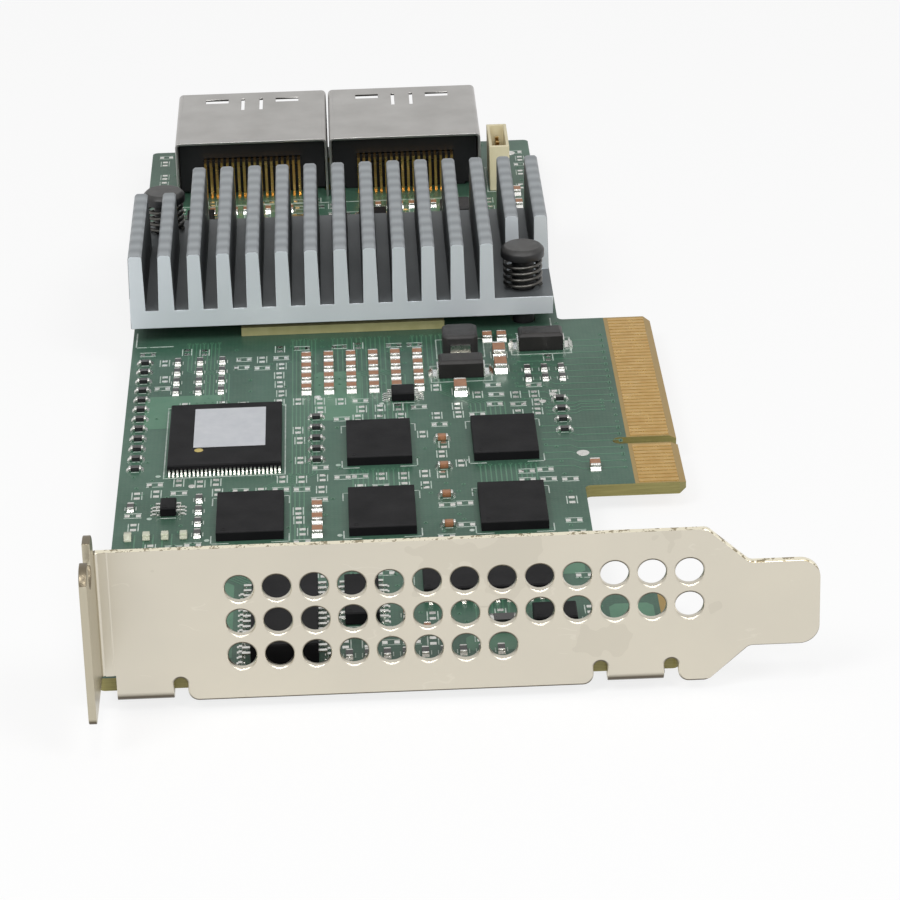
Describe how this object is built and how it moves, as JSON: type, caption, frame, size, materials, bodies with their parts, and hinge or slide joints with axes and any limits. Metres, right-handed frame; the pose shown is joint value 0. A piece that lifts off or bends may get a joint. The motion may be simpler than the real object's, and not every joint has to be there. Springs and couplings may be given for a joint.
{
  "type": "storage controller card",
  "caption": "Low-profile add-in circuit card with a vented metal bracket, finned heatsink, memory chips, internal cable sockets and a gold edge connector.",
  "frame": {"origin": "bottom centre of the whole card's bounding box, lying with its components up", "axes": "+Y from the bracket along the board to the cable sockets, +X towards the edge connector, +Z out of the component side"},
  "size_m": [0.0792, 0.181, 0.0229],
  "materials": {
    "plated_bracket_steel": "satin plating",
    "screw_steel": "satin",
    "capacitor_ceramic": "matt",
    "lead_tin": "tinned",
    "green_board": "semi-gloss solder mask",
    "clock_ceramic": "matt",
    "clock_lid_metal": "satin",
    "contact_gold": "polished",
    "chip_black": "fine matt moulding",
    "white_label": "matt paper",
    "cream_plastic": "matt",
    "grey_pad": "matt",
    "heatsink_aluminium": "satin, sawn fin ends",
    "ferrite_grey": "matt",
    "processor_cap_metal": "satin plating",
    "substrate_laminate": "semi-gloss",
    "spring_steel": "drawn wire",
    "black_nylon": "matt",
    "resistor_black": "glazed",
    "housing_black": "matt",
    "shell_steel": "satin",
    "light_lens": "clear",
    "tantalum_black": "matt"
  },
  "bodies": {
    "root": {"bracket": "plated_bracket_steel", "bracket_screws": "screw_steel", "capacitor_bodies": "capacitor_ceramic", "capacitor_ends": "lead_tin", "circuit_board": "green_board", "clock_base": "clock_ceramic", "clock_lid": "clock_lid_metal", "edge_contacts_bottom": "contact_gold", "edge_contacts_top": "contact_gold", "flash_body": "chip_black", "flash_label": "white_label", "flash_leads": "lead_tin", "header_pins": "contact_gold", "header_shroud": "cream_plastic", "heat_transfer_pad": "grey_pad", "heatsink": "heatsink_aluminium", "inductor_terminals": "lead_tin", "memory_chip_1": "chip_black", "memory_chip_2": "chip_black", "memory_chip_3": "chip_black", "memory_chip_4": "chip_black", "memory_chip_5": "chip_black", "power_inductor_1": "ferrite_grey", "power_inductor_2": "ferrite_grey", "processor_cap": "processor_cap_metal", "processor_substrate": "substrate_laminate", "push_pin_springs": "spring_steel", "push_pins": "black_nylon", "resistor_bodies": "resistor_black", "resistor_ends": "lead_tin", "small_chip_bodies": "chip_black", "small_chip_leads": "lead_tin", "socket_contacts_1": "contact_gold", "socket_contacts_2": "contact_gold", "socket_housing_1": "housing_black", "socket_housing_2": "housing_black", "socket_shell_1": "shell_steel", "socket_shell_2": "shell_steel", "status_lights": "light_lens", "tantalum_capacitor_1": "tantalum_black", "tantalum_capacitor_2": "tantalum_black", "tantalum_terminals": "lead_tin", "underside_capacitor_bodies": "capacitor_ceramic", "underside_capacitor_ends": "lead_tin"}
  },
  "joints": []
}
